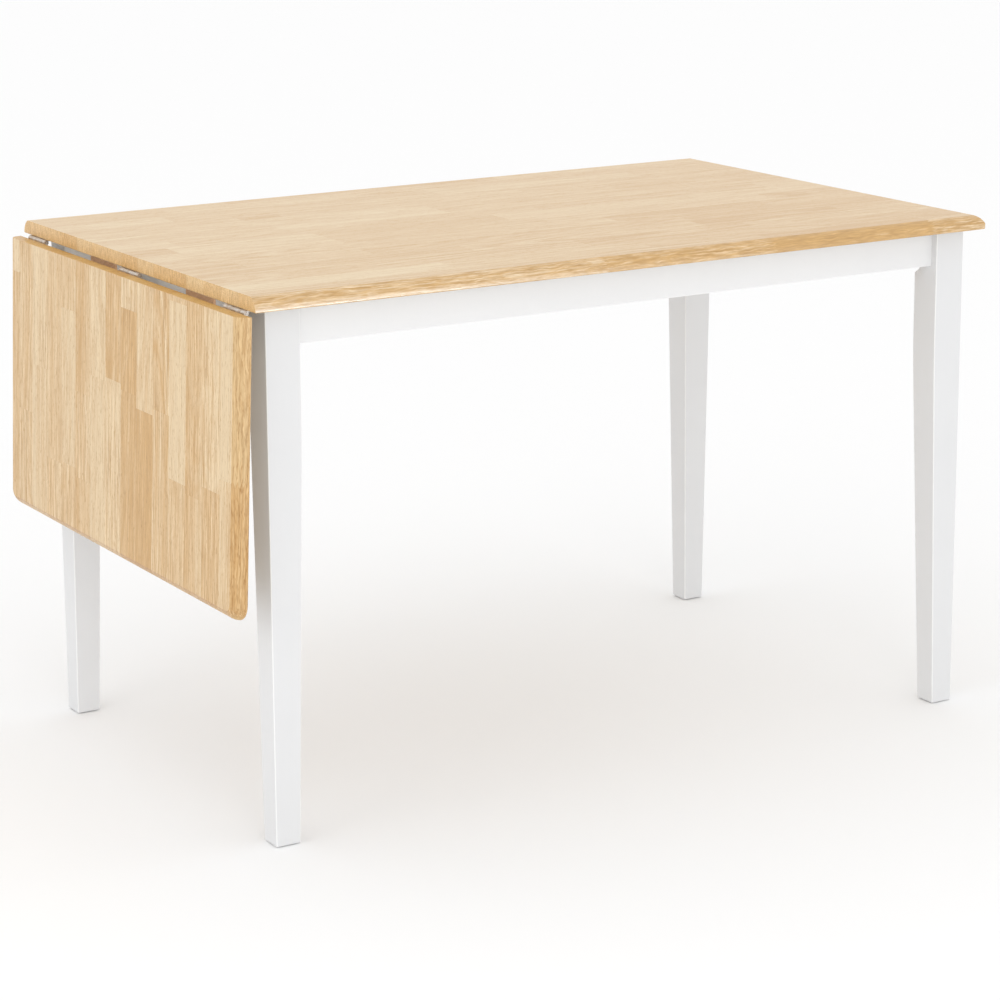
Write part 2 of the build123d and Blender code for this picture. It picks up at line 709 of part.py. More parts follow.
with BuildPart() as hanger_bolt_nuts:
    with Locations(*[bolt_place(tag, block_gap + block_thick + washer_thick)
                     for tag in corners]):
        add(one_nut.part)
hanger_bolt_nuts.part.label = "hanger_bolt_nuts"
export_step(hanger_bolt_nuts.part, "parts/hanger_bolt_nuts.step")

# =================================================================== foot glides
for tag, (x0, y0, dx, dy) in corners.items():
    with BuildPart() as glide:
        with BuildSketch(Plane.XY):
            with Locations((x0 + dx * leg_foot / 2, y0 + dy * leg_foot / 2)):
                Circle(glide_r)
        extrude(amount=glide_thick)
        fillet(glide.edges().sort_by(Axis.Z)[0], 0.4)
    glide.part.label = f"foot_glide_{tag}"
    export_step(glide.part, f"parts/foot_glide_{tag}.step")
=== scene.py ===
import math

import bpy
from mathutils import Matrix, Vector

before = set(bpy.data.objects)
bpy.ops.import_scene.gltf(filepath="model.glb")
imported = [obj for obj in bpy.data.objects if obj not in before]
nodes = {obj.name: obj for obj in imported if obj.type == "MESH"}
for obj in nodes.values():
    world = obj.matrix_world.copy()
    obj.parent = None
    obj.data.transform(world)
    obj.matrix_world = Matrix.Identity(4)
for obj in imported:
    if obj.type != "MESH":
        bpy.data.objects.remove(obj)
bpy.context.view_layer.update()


# ------------------------------------------------------------- node tree builder
class Tree:
    """Short calls for building a material's node tree. Each call returns the
    new node's output socket; numbers may stand where sockets may."""

    def __init__(self, name):
        self.mat = bpy.data.materials.new(name)
        self.mat.use_nodes = True
        self.t = self.mat.node_tree
        self.t.nodes.clear()
        self.count = 0

    def node(self, kind):
        n = self.t.nodes.new(kind)
        n.location = (220 * (self.count % 14), -180 * (self.count // 14))
        self.count += 1
        return n

    def put(self, socket, value):
        if isinstance(value, bpy.types.NodeSocket):
            self.t.links.new(value, socket)
        elif value is not None:
            socket.default_value = value

    def math(self, op, a, b=None, c=None, clamp=False):
        n = self.node("ShaderNodeMath")
        n.operation, n.use_clamp = op, clamp
        for s, v in zip(n.inputs, (a, b, c)):
            self.put(s, v)
        return n.outputs[0]

    def vec(self, op, a, b=None, scale=None):
        n = self.node("ShaderNodeVectorMath")
        n.operation = op
        self.put(n.inputs[0], a)
        if b is not None:
            self.put(n.inputs[1], b)
        if scale is not None:
            self.put(n.inputs["Scale"], scale)
        return n.outputs["Value"] if op in ("DOT_PRODUCT", "LENGTH") else n.outputs[0]

    def join(self, x, y, z):
        n = self.node("ShaderNodeCombineXYZ")
        for s, v in zip(n.inputs, (x, y, z)):
            self.put(s, v)
        return n.outputs[0]

    def split(self, v):
        n = self.node("ShaderNodeSeparateXYZ")
        self.put(n.inputs[0], v)
        return n.outputs[0], n.outputs[1], n.outputs[2]

    def noise(self, vector, scale=1.0, detail=2.0, rough=0.5, dims="3D", w=None,
              distortion=0.0):
        n = self.node("ShaderNodeTexNoise")
        n.noise_dimensions = dims
        if dims != "1D":
            self.put(n.inputs["Vector"], vector)
        if w is not None:
            self.put(n.inputs["W"], w)
        n.inputs["Scale"].default_value = scale
        n.inputs["Detail"].default_value = detail
        n.inputs["Roughness"].default_value = rough
        n.inputs["Distortion"].default_value = distortion
        return n.outputs["Fac"]

    def white(self, vector):
        n = self.node("ShaderNodeTexWhiteNoise")
        n.noise_dimensions = "3D"
        self.put(n.inputs["Vector"], vector)
        return n.outputs["Color"]

    def step(self, x, low, high, out_low=0.0, out_high=1.0, kind="SMOOTHSTEP"):
        n = self.node("ShaderNodeMapRange")
        n.interpolation_type = kind
        for k, v in (("Value", x), ("From Min", low), ("From Max", high),
                     ("To Min", out_low), ("To Max", out_high)):
            self.put(n.inputs[k], v)
        return n.outputs["Result"]

    def mixf(self, f, a, b):
        n = self.node("ShaderNodeMix")
        n.data_type = "FLOAT"
        self.put(n.inputs[0], f)
        self.put(n.inputs[2], a)
        self.put(n.inputs[3], b)
        return n.outputs[0]

    def mixc(self, f, a, b, blend="MIX"):
        n = self.node("ShaderNodeMix")
        n.data_type, n.blend_type = "RGBA", blend
        n.clamp_factor = True
        self.put(n.inputs[0], f)
        self.put(n.inputs[6], a if isinstance(a, bpy.types.NodeSocket) else (*a, 1))
        self.put(n.inputs[7], b if isinstance(b, bpy.types.NodeSocket) else (*b, 1))
        return n.outputs[2]

    def ramp(self, f, stops, kind="LINEAR"):
        n = self.node("ShaderNodeValToRGB")
        r = n.color_ramp
        r.interpolation = kind
        while len(r.elements) > 1:
            r.elements.remove(r.elements[-1])
        for k, (p, c) in enumerate(stops):
            e = r.elements[0] if k == 0 else r.elements.new(p)
            e.position, e.color = p, (*c, 1)
        self.put(n.inputs[0], f)
        return n.outputs[0]

    def coords(self, output="Object"):
        return self.node("ShaderNodeTexCoord").outputs[output]

    def bump(self, height, strength, distance, normal=None):
        n = self.node("ShaderNodeBump")
        n.inputs["Strength"].default_value = strength
        n.inputs["Distance"].default_value = distance
        self.put(n.inputs["Height"], height)
        if normal is not None:
            self.put(n.inputs["Normal"], normal)
        return n.outputs[0]

    def surface(self, colour, rough, normal=None, **fixed):
        n = self.node("ShaderNodeBsdfPrincipled")
        self.put(n.inputs["Base Color"],
                 colour if isinstance(colour, bpy.types.NodeSocket) else (*colour, 1))
        self.put(n.inputs["Roughness"], rough)
        if normal is not None:
            self.put(n.inputs["Normal"], normal)
        for k, v in fixed.items():
            n.inputs[k.replace("_", " ")].default_value = v
        out = self.node("ShaderNodeOutputMaterial")
        self.t.links.new(n.outputs[0], out.inputs[0])
        return self.mat


def srgb(r, g, b):
    """Linear colour of a displayed colour given in 0-255."""
    def one(v):
        v /= 255
        return v / 12.92 if v <= 0.04045 else ((v + 0.055) / 1.055) ** 2.4
    return one(r), one(g), one(b)


# ------------------------------------------------------------ the boards' staves
# Both boards are glued up from 51 mm staves, each made of shorter blocks that
# are finger-jointed end to end. For each stave: where its joints are, measured
# along the grain (millimetres), and the tone of each block, 0 pale to 1 brown.
# "lean" darkens one side of a stave (positive: the +Y side).
STAVE = 0.051
STAVE_EDGE = 0.386

LEAF_LENGTH = 400.0
leaf_staves = [
    # joints                tones                      lean  figure
    ((52, 999, 999), (0.22, 0.60, 0.55, 0.55), 0.30, 0.35),
    ((252, 999, 999), (0.44, 0.38, 0.40, 0.40), 0.10, 0.55),
    ((178, 999, 999), (0.17, 0.24, 0.24, 0.24), -0.22, 0.25),
    ((306, 999, 999), (0.42, 0.46, 0.45, 0.45), 0.00, 0.20),
    ((78, 302, 999), (0.42, 0.27, 0.50, 0.50), 0.02, 0.35),
    ((190, 314, 999), (0.54, 0.44, 0.50, 0.50), 0.38, 0.45),
    ((158, 999, 999), (0.19, 0.18, 0.18, 0.18), -0.02, 0.20),
    ((152, 999, 999), (0.68, 0.24, 0.24, 0.24), 0.10, 0.35),
    ((46, 160, 999), (0.30, 0.86, 0.74, 0.74), -0.10, 0.45),
    ((177, 999, 999), (0.31, 0.88, 0.90, 0.90), -0.08, 0.40),
    ((168, 999, 999), (0.52, 0.50, 0.50, 0.50), -0.12, 0.95),
    ((12, 252, 999), (0.45, 0.06, 0.46, 0.46), 0.00, 0.20),
    ((262, 999, 999), (0.58, 0.52, 0.50, 0.50), 0.18, 0.40),
    ((242, 999, 999), (0.32, 0.54, 0.50, 0.50), 0.16, 0.50),
    ((221, 999, 999), (0.10, 0.36, 0.36, 0.36), -0.06, 0.35),
]

TOP_LENGTH = 1200.0
top_staves = [
    ((320, 800, 999), (0.46, 0.60, 0.44, 0.30), 0.05, 0.30),
    ((210, 520, 860), (0.40, 0.34, 0.42, 0.50), 0.00, 0.30),
    ((180, 640, 1010), (0.22, 0.44, 0.30, 0.46), 0.05, 0.25),
    ((270, 335, 760), (0.42, 0.66, 0.40, 0.52), 0.00, 0.30),
    ((130, 560, 900), (0.34, 0.28, 0.44, 0.56), 0.00, 0.30),
    ((280, 560, 930), (0.38, 0.22, 0.42, 0.56), 0.20, 0.30),
    ((95, 690, 1105), (0.30, 0.44, 0.54, 0.34), 0.00, 0.30),
    ((70, 300, 600), (0.66, 0.20, 0.58, 0.28), 0.00, 0.25),
    ((300, 640, 1047), (0.30, 0.46, 0.40, 0.62), 0.00, 0.30),
    ((330, 725, 1005), (0.46, 0.40, 0.74, 0.52), 0.05, 0.45),
    ((98, 290, 820), (0.62, 0.42, 0.60, 0.68), 0.00, 0.40),
    ((420, 810, 1065), (0.50, 0.46, 0.86, 0.56), 0.15, 0.60),
    ((250, 575, 865), (0.44, 0.50, 0.72, 0.48), 0.10, 0.75),
    ((330, 640, 960), (0.08, 0.40, 0.58, 0.70), 0.00, 0.35),
    ((540, 820, 1106), (0.50, 0.62, 0.92, 0.56), 0.00, 0.60),
]

# the tone of the end grain, stave by stave, at each board's ends
top_ends = (0.46, 0.42, 0.50, 0.70, 0.28, 0.44, 0.46, 0.66, 0.30, 0.58, 0.66, 0.22, 0.42,
            0.30, 0.52)
leaf_ends = (0.60, 0.50, 0.56, 0.70, 0.48, 0.62, 0.50, 0.72, 0.46, 0.60, 0.66, 0.44, 0.58,
             0.52, 0.60)

PALE = srgb(228, 202, 165)
MIDDLE = srgb(219, 185, 140)
BROWN = srgb(206, 162, 101)


def stave_board(name, origin, grain, across, through, length, staves, ends, seed,
                tone_span, tint_face, tint_edge, tint_end, tint_outer, grain_amount,
                edge_grain, crisp):
    """Satin-lacquered board of finger-jointed staves. origin is a point of the
    joint edge, and grain, across and through are the board's own axes. ends holds
    the tone of each stave's end grain, tinted tint_end at the joint and tint_outer
    at the board's other end."""
    t = Tree(name)
    place = t.vec("SUBTRACT", t.coords("Object"), tuple(origin))
    g = t.vec("DOT_PRODUCT", place, tuple(grain))
    a = t.vec("DOT_PRODUCT", place, tuple(across))
    w = t.vec("DOT_PRODUCT", place, tuple(through))

    # which stave, and where across it (-1 to 1)
    run = t.math("DIVIDE", t.math("SUBTRACT", STAVE_EDGE, a), STAVE)
    index = t.math("FLOOR", run)
    local = t.math("MULTIPLY_ADD", t.math("FRACT", run), -2.0, 1.0)
    count = len(staves)
    pick = t.math("DIVIDE", t.math("ADD", index, 0.5), float(count))
    joints = t.ramp(pick, [(k / count, tuple(min(1.0, j / length) for j in s[0]))
                           for k, s in enumerate(staves)], "CONSTANT")
    tones = t.ramp(pick, [(k / count, tuple(s[1][:3]))
                          for k, s in enumerate(staves)], "CONSTANT")
    extra = t.ramp(pick, [(k / count, (s[1][3], 0.5 + s[2] / 2, s[3]))
                          for k, s in enumerate(staves)], "CONSTANT")
    j1, j2, j3 = t.split(joints)
    t1, t2, t3 = t.split(tones)
    t4, lean, figure = t.split(extra)
    end_tone = t.split(t.ramp(pick, [(k / count, (v, v, v)) for k, v in enumerate(ends)],
                              "CONSTANT"))[0]

    # where the surface is moulded or square-edged, and where it shows end grain
    facing = t.coords("Normal")
    flat = t.math("ABSOLUTE", t.vec("DOT_PRODUCT", facing, tuple(through)))
    end = t.math("ABSOLUTE", t.vec("DOT_PRODUCT", facing, tuple(grain)))
    edge = t.step(flat, 0.9925, 0.9865)
    end = t.step(end, 0.45, 0.95)
    under = t.step(t.vec("DOT_PRODUCT", facing, tuple(through)), -0.90, -0.97)

    # finger joints: straight on the faces, a zigzag through the thickness
    tooth = t.math("DIVIDE", t.math("PINGPONG", w, 0.0021), 0.0021)
    along = t.math("DIVIDE", t.math("MULTIPLY_ADD", tooth, 0.009, g), length / 1000)
    p1 = t.math("GREATER_THAN", along, j1)
    p2 = t.math("GREATER_THAN", along, j2)
    p3 = t.math("GREATER_THAN", along, j3)
    tone = t.mixf(p3, t.mixf(p2, t.mixf(p1, t1, t2), t3), t4)
    tone = t.mixf(end, tone, end_tone)
    block = t.math("ADD", p1, t.math("ADD", p2, p3))
    chance = t.white(t.join(t.math("ADD", index, seed), t.math("ADD", block, 0.5), seed))
    r1, r2, r3 = t.split(chance)

    # growth rings of each block's own log, seen wherever the board cuts them
    sway = t.noise(t.join(t.math("MULTIPLY_ADD", r1, 9.0, t.math("MULTIPLY", g, 5.0)),
                          t.math("MULTIPLY", r2, 7.0), index), 1.0, 2.0)
    centre_a = t.math("MULTIPLY_ADD", r1, 0.09, -0.045)
    drift = t.math("MULTIPLY", g, t.math("MULTIPLY_ADD", r2, 0.22, -0.11))
    ring_a = t.math("ADD", t.math("MULTIPLY_ADD", local, STAVE / 2, centre_a),
                    t.math("MULTIPLY", sway, 0.016))
    ring_w = t.math("ADD", t.math("ADD", w, t.math("MULTIPLY_ADD", r3, 0.05, 0.012)), drift)
    radius = t.vec("LENGTH", t.join(ring_a, ring_w, 0.0))
    ring = t.noise(None, 1.0, 2.0, 0.55, "1D", w=t.math("MULTIPLY_ADD", radius, 250.0,
                                                        t.math("MULTIPLY", r2, 40.0)))
    ring = t.math("SUBTRACT", ring, 0.5)

    # long fibres, short open pores and pale flecks, stretched along the grain
    shift = t.vec("SCALE", chance, scale=3.0)
    warp_a = t.math("MULTIPLY_ADD", sway, 0.010, a)
    ripple = t.noise(t.vec("ADD", t.join(t.math("MULTIPLY", g, 42.0),
                                         t.math("MULTIPLY", a, 60.0),
                                         t.math("MULTIPLY", w, 60.0)), shift), 1.0, 2.0)
    ripple = t.math("SUBTRACT", ripple, 0.5)
    wavy_a = t.math("MULTIPLY_ADD", ripple, 0.0042, warp_a)
    wavy_w = t.math("MULTIPLY_ADD", ripple, 0.0042, w)
    fibre = t.noise(t.vec("ADD", t.join(t.math("MULTIPLY", g, 11.0),
                                        t.math("MULTIPLY", t.math("MULTIPLY_ADD", ripple,
                                                                  0.0034, warp_a), 430.0),
                                        t.math("MULTIPLY", w, 430.0)), shift),
                    1.0, 3.0, 0.70)
    fibre = t.math("MULTIPLY", t.math("SUBTRACT", fibre, 0.5),
                   t.math("MULTIPLY_ADD", r3, 0.7, 0.65))
    band = t.noise(t.vec("ADD", t.join(t.math("MULTIPLY", g, 2.2),
                                       t.math("MULTIPLY", warp_a, 95.0),
                                       t.math("MULTIPLY", w, 95.0)), shift),
                   1.0, 2.0, 0.5)
    band = t.math("SUBTRACT", band, 0.5)
    pore = t.noise(t.vec("ADD", t.join(t.math("MULTIPLY", g, 95.0),
                                       t.math("MULTIPLY", wavy_a, 900.0),
                                       t.math("MULTIPLY", wavy_w, 900.0)), shift),
                   1.0, 1.0, 0.5)
    pore = t.step(pore, 0.58, 0.72)
    # on the moulded edges the fibres run out, and the open grain shows as short
    # dark wavy dashes
    dash = t.noise(t.vec("ADD", t.join(t.math("MULTIPLY", g, 36.0),
                                       t.math("MULTIPLY", wavy_a, 520.0),
                                       t.math("MULTIPLY", wavy_w, 520.0)), shift),
                   1.0, 2.0, 0.6)
    dash = t.math("SUBTRACT", dash, 0.5)
    slope = t.noise(t.vec("ADD", t.join(t.math("MULTIPLY", g, 6.5),
                                        t.math("MULTIPLY", wavy_a, 42.0),
                                        t.math("MULTIPLY", wavy_w, 42.0)), shift),
                    1.0, 1.0, 0.5)
    flow = t.noise(None, 1.0, 2.0, 0.6, "1D", w=t.math("MULTIPLY_ADD", slope, 17.0,
                                                       t.math("MULTIPLY", r1, 30.0)))
    open_grain = t.math("MULTIPLY_ADD", t.math("SUBTRACT", flow, 0.5), 1.1,
                        t.math("MULTIPLY", dash, 1.9))
    mottle = t.noise(t.vec("ADD", t.join(t.math("MULTIPLY", g, 26.0),
                                         t.math("MULTIPLY", a, 90.0), w), shift),
                     1.0, 2.0, 0.6)
    mottle = t.math("SUBTRACT", mottle, 0.5)
    # end grain: dense fine specks with faint rays up through the thickness
    rays = t.noise(t.vec("ADD", t.join(t.math("MULTIPLY", a, 620.0),
                                       t.math("MULTIPLY", w, 75.0), g), shift),
                   1.0, 2.0, 0.6)
    specks = t.noise(t.vec("ADD", t.join(t.math("MULTIPLY", a, 900.0),
                                         t.math("MULTIPLY", w, 800.0), g), shift),
                     1.0, 1.0, 0.5)
    cut = t.math("ADD", t.math("MULTIPLY", t.math("SUBTRACT", rays, 0.5), 1.1),
                 t.math("MULTIPLY", t.math("SUBTRACT", specks, 0.5), 0.9))

    # how much of each: the table's tone, then the figure
    side = t.math("MULTIPLY", t.math("SUBTRACT", lean, 0.5), t.math("MULTIPLY", local, 1.0))
    long = t.math("SUBTRACT", 1.0, end)
    run_out = t.math("MULTIPLY", edge, long)
    value = t.math("MULTIPLY_ADD", t.math("SUBTRACT", tone, 0.42), tone_span, 0.42)
    value = t.math("MULTIPLY_ADD", t.math("MULTIPLY", side, long), tone_span, value)
    figured = t.math("MULTIPLY", ring, t.math("MULTIPLY_ADD", figure, 1.15, 0.25))
    value = t.math("MULTIPLY_ADD", figured, t.math("MULTIPLY_ADD", end, -0.75, 1.0), value)
    grains = t.math("MULTIPLY_ADD", band, 0.75, t.math("MULTIPLY", fibre, 1.9))
    grains = t.math("MULTIPLY_ADD", mottle, 0.38, grains)
    grains = t.math("MULTIPLY_ADD", pore, 0.45, grains)
    value = t.math("MULTIPLY_ADD", grains, t.math("MULTIPLY", long, grain_amount), value)
    value = t.math("MULTIPLY_ADD", open_grain, t.math("MULTIPLY", run_out, edge_grain), value)
    value = t.math("MULTIPLY_ADD", t.math("SUBTRACT", tone, 0.42),
                   t.math("MULTIPLY", run_out, edge_grain), value)
    value = t.math("MULTIPLY_ADD", cut, t.math("MULTIPLY", end, 0.50), value)

    # the moulded and square edges take more lacquer, end grain most of all
    value = t.math("MULTIPLY_ADD", edge, 0.10, value)
    colour = t.ramp(value, [(0.0, PALE), (0.42, MIDDLE), (1.0, BROWN)])
    colour = t.mixc(run_out, colour, t.mixc(1.0, colour, tint_edge, "MULTIPLY"))
    outer = t.step(g, 0.2 * length / 1000, 0.8 * length / 1000)
    colour = t.mixc(end, colour, t.mixc(1.0, colour, t.mixc(outer, tint_end, tint_outer),
                                        "MULTIPLY"))
    colour = t.mixc(1.0, colour, tint_face, "MULTIPLY")
    # the finest grain is shade more than hue
    fine = t.math("MULTIPLY", t.math("MULTIPLY_ADD", pore, 0.22, fibre),
                  t.math("MULTIPLY", long, crisp))
    fine = t.math("MULTIPLY_ADD", dash, t.math("MULTIPLY", run_out, 0.95), fine)
    fine = t.math("MULTIPLY_ADD", cut, t.math("MULTIPLY", end, 0.90), fine)
    n = t.node("ShaderNodeVectorMath")
    n.operation = "MULTIPLY_ADD"
    t.put(n.inputs[0], t.join(fine, fine, fine))
    n.inputs[1].default_value = (-0.86, -1.0, -1.2)
    n.inputs[2].default_value = (1.0, 1.0, 1.0)
    colour = t.vec("MULTIPLY", colour, n.outputs[0])
    # the undersides are only sealed, so they stay paler and greyer
    colour = t.mixc(t.math("MULTIPLY", under, 0.74), colour, (0.645, 0.592, 0.508))
    # glue lines: a hair darker between staves and at the block joints
    seam = t.step(t.math("ABSOLUTE", local), 0.985, 1.0)
    near = t.math("MINIMUM", t.math("ABSOLUTE", t.math("SUBTRACT", along, j1)),
                  t.math("MINIMUM", t.math("ABSOLUTE", t.math("SUBTRACT", along, j2)),
                         t.math("ABSOLUTE", t.math("SUBTRACT", along, j3))))
    seam = t.math("MAXIMUM", seam, t.step(near, 0.35 / length, 0.0))
    colour = t.mixc(t.math("MULTIPLY", seam, t.math("MULTIPLY_ADD", end, 0.60, 0.16)), colour,
                    t.mixc(1.0, colour, (0.62, 0.50, 0.38), "MULTIPLY"))

    rough = t.math("MULTIPLY_ADD", fibre, 0.10, 0.36)
    rough = t.math("MULTIPLY_ADD", pore, 0.10, rough)
    rough = t.math("MULTIPLY_ADD", end, 0.06, rough)
    rough = t.math("MULTIPLY_ADD", under, 0.18, rough)
    relief = t.math("MULTIPLY_ADD", pore, -0.8, t.math("MULTIPLY", fibre, 0.9))
    relief = t.math("MULTIPLY_ADD", seam, -0.5, relief)
    normal = t.bump(relief, 0.35, 0.00025)
    return t.surface(colour, rough, normal, Coat_Weight=0.22, Coat_Roughness=0.20)


# ---------------------------------------------------------------- other finishes
def painted(name, seed, painted_light_level):
    """White satin paint, rolled on: a faint orange peel, barely uneven in tone,
    with the wood's grain just telegraphing through. Along the arrises it is
    painted near-white, a painted highlight, and made a little smoother. Each
    copy is scaled brighter or darker by its level, painted light or painted
    shade for where its parts stand."""
    t = Tree(name)
    p = t.vec("ADD", t.coords("Object"), (seed, seed * 1.7, 0.0))
    x, y, z = t.split(p)
    nx, ny, nz = t.split(t.vec("ABSOLUTE", t.coords("Normal")))
    square = t.math("MAXIMUM", t.math("MAXIMUM", nx, ny), nz)
    arris_highlight = t.step(square, 0.990, 0.955)
    peel = t.noise(p, 420.0, 2.0, 0.5)
    cloud = t.noise(p, 7.0, 3.0, 0.55)
    brush = t.noise(t.join(t.math("MULTIPLY", x, 240.0), t.math("MULTIPLY", y, 240.0),
                           t.math("MULTIPLY", z, 6.0)), 1.0, 3.0, 0.6)
    fleck = t.step(t.noise(p, 160.0, 2.0, 0.5), 0.72, 0.78)
    colour = t.mixc(cloud, (0.752, 0.756, 0.764), (0.800, 0.803, 0.808))
    colour = t.mixc(t.math("MULTIPLY", brush, 0.10), colour, (0.70, 0.703, 0.708))
    colour = t.mixc(t.math("MULTIPLY", fleck, 0.10), colour, (0.66, 0.65, 0.64))
    # painted light and shade: the whole colour is scaled by this copy's level, brighter for
    # the aprons and darker for the legs
    colour = t.mixc(1.0, colour, (painted_light_level, painted_light_level, painted_light_level), "MULTIPLY")
    # painted highlight: a near-white line along the rounded arrises, where the lamps would
    # catch the edge
    colour = t.mixc(t.math("MULTIPLY", arris_highlight, 0.70), colour, (0.93, 0.93, 0.93))
    rough = t.math("MULTIPLY_ADD", cloud, 0.10, 0.38)
    rough = t.math("MULTIPLY_ADD", t.math("SUBTRACT", brush, 0.5), 0.08, rough)
    rough = t.math("MULTIPLY_ADD", arris_highlight, -0.12, rough)
    relief = t.math("MULTIPLY_ADD", brush, 0.55, t.math("MULTIPLY", peel, 0.5))
    return t.surface(colour, rough, t.bump(relief, 0.22, 0.0002))


def bare_wood(name, axis, pale, dark, ring_scale, roughness, seed, sawn=0.0):
    """Unfinished wood with its grain along one axis (0, 1 or 2)."""
    t = Tree(name)
    p = t.vec("ADD", t.coords("Object"), (seed, seed * 0.7, seed * 1.3))
    xyz = list(t.split(p))
    g = xyz.pop(axis)
    a, w = xyz
    sway = t.noise(t.join(t.math("MULTIPLY", g, 6.0), t.math("MULTIPLY", a, 9.0), w), 1.0)
    ring = t.noise(None, 1.0, 2.0, 0.6, "1D", w=t.math("MULTIPLY", t.vec("LENGTH", t.join(
        t.math("MULTIPLY_ADD", sway, 0.012, a), t.math("ADD", w, 0.031), 0.0)), ring_scale))
    fibre = t.noise(t.join(t.math("MULTIPLY", g, 14.0), t.math("MULTIPLY", a, 620.0),
                           t.math("MULTIPLY", w, 620.0)), 1.0, 3.0, 0.6)
    pore = t.step(t.noise(t.join(t.math("MULTIPLY", g, 130.0), t.math("MULTIPLY", a, 1500.0),
                                 t.math("MULTIPLY", w, 1500.0)), 1.0, 1.0), 0.58, 0.72)
    value = t.math("ADD", t.math("MULTIPLY", ring, 0.55), t.math("MULTIPLY", fibre, 0.55))
    value = t.math("MULTIPLY_ADD", pore, 0.25, value)
    value = t.math("MULTIPLY_ADD", t.noise(p, 18.0, 3.0), 0.35, value)
    colour = t.ramp(value, [(0.35, pale), (1.05, dark)])
    relief = t.math("MULTIPLY_ADD", pore, -0.7, fibre)
    if sawn:
        saw = t.math("SINE", t.math("MULTIPLY", g, 2200.0))
        relief = t.math("MULTIPLY_ADD", saw, sawn, relief)
        colour = t.mixc(t.math("MULTIPLY_ADD", saw, 0.03, 0.03), colour, dark)
    rough = t.math("MULTIPLY_ADD", fibre, 0.14, roughness)
    return t.surface(colour, rough, t.bump(relief, 0.4, 0.0003))


def plated(name, base, tarnish, roughness, seed, scratch=900.0):
    """Bright plated steel: fine drawn scratches, thin stains and small pits."""
    t = Tree(name)
    p = t.vec("ADD", t.coords("Object"), (seed, 0.0, seed))
    x, y, z = t.split(p)
    line = t.noise(t.join(t.math("MULTIPLY", x, scratch), t.math("MULTIPLY", y, 40.0),
                          t.math("MULTIPLY", z, scratch)), 1.0, 3.0, 0.7)
    stain = t.noise(p, 120.0, 4.0, 0.6)
    pit = t.step(t.noise(p, 1400.0, 1.0), 0.70, 0.80)
    colour = t.mixc(t.step(stain, 0.40, 0.75), base, tarnish)
    colour = t.mixc(t.math("MULTIPLY", pit, 0.5), colour, tarnish)
    rough = t.math("MULTIPLY_ADD", line, 0.20, roughness)
    rough = t.math("MULTIPLY_ADD", stain, 0.14, rough)
    relief = t.math("MULTIPLY_ADD", pit, -0.8, t.math("MULTIPLY", line, 0.5))
    return t.surface(colour, rough, t.bump(relief, 0.25, 0.0001), Metallic=1.0)


def nylon(name):
    """Pale grey moulded nylon, faintly grained, scuffed where it slides."""
    t = Tree(name)
    p = t.coords("Object")
    grain = t.noise(p, 900.0, 2.0)
    scuff = t.noise(t.vec("MULTIPLY", p, (300.0, 60.0, 300.0)), 1.0, 3.0, 0.65)
    colour = t.mixc(t.step(scuff, 0.45, 0.75), srgb(205, 205, 204), srgb(222, 222, 221))
    rough = t.math("MULTIPLY_ADD", scuff, 0.25, 0.42)
    return t.surface(colour, rough, t.bump(grain, 0.3, 0.0002))


# ------------------------------------------------------------------ board finish
swing = math.radians(2.4)
pin = Vector((-0.58045, 0.0, 0.7264))
down = Vector((-math.sin(swing), 0.0, -math.cos(swing)))
out = Vector((-math.cos(swing), 0.0, math.sin(swing)))

top_wood = stave_board("lacquered_staves_top", (-0.5797, 0.0, 0.730), (1, 0, 0),
                       (0, 1, 0), (0, 0, 1), TOP_LENGTH, top_staves, top_ends, 11.0,
                       0.90, (0.958, 0.952, 0.838), (0.975, 1.015, 1.20), (1.06, 1.05, 1.00),
                       (1.00, 1.00, 1.04), 0.80, 0.72, 0.16)
# the leaf's joint-edge tint (0.99, 0.90, 0.54) is partly the end grain's own deeper colour
# and partly painted shade and warm bounce, for the edge that sits in the gap under the top
leaf_wood = stave_board("lacquered_staves_leaf", pin + out * 0.0036 + down * 0.00075,
                        down, (0, 1, 0), out, LEAF_LENGTH, leaf_staves, leaf_ends, 37.0,
                        1.22, (0.930, 0.925, 0.860), (0.865, 0.775, 0.635),
                        (0.99, 0.90, 0.54), (1.03, 1.00, 0.76), 1.12, 0.42, 0.95)
frame_wood = {
    "x": bare_wood("bare_rail_wood", 1, srgb(226, 200, 160), srgb(188, 150, 104), 240.0,
                   0.62, 3.1, sawn=0.35),
    "z": bare_wood("bare_block_wood", 2, srgb(224, 198, 158), srgb(184, 146, 100), 260.0,
                   0.66, 5.7, sawn=0.5),
}
support_wood = bare_wood("brown_support_wood", 0, srgb(234, 195, 158), srgb(202, 156, 118),
                         330.0, 0.50, 8.3)
dowel_wood = bare_wood("turned_dowel_wood", 2, srgb(224, 196, 152), srgb(186, 148, 102),
                       300.0, 0.55, 2.2)
hinge_steel = plated("zinc_hinge_plate", (0.66, 0.61, 0.56), (0.50, 0.39, 0.29), 0.28, 4.0)
screw_steel = plated("zinc_screw", (0.74, 0.73, 0.69), (0.50, 0.46, 0.36), 0.24, 9.0,
                     scratch=1500.0)
glide = nylon("grey_nylon")


def wear(obj, material):
    obj.data.materials.clear()
    obj.data.materials.append(material)


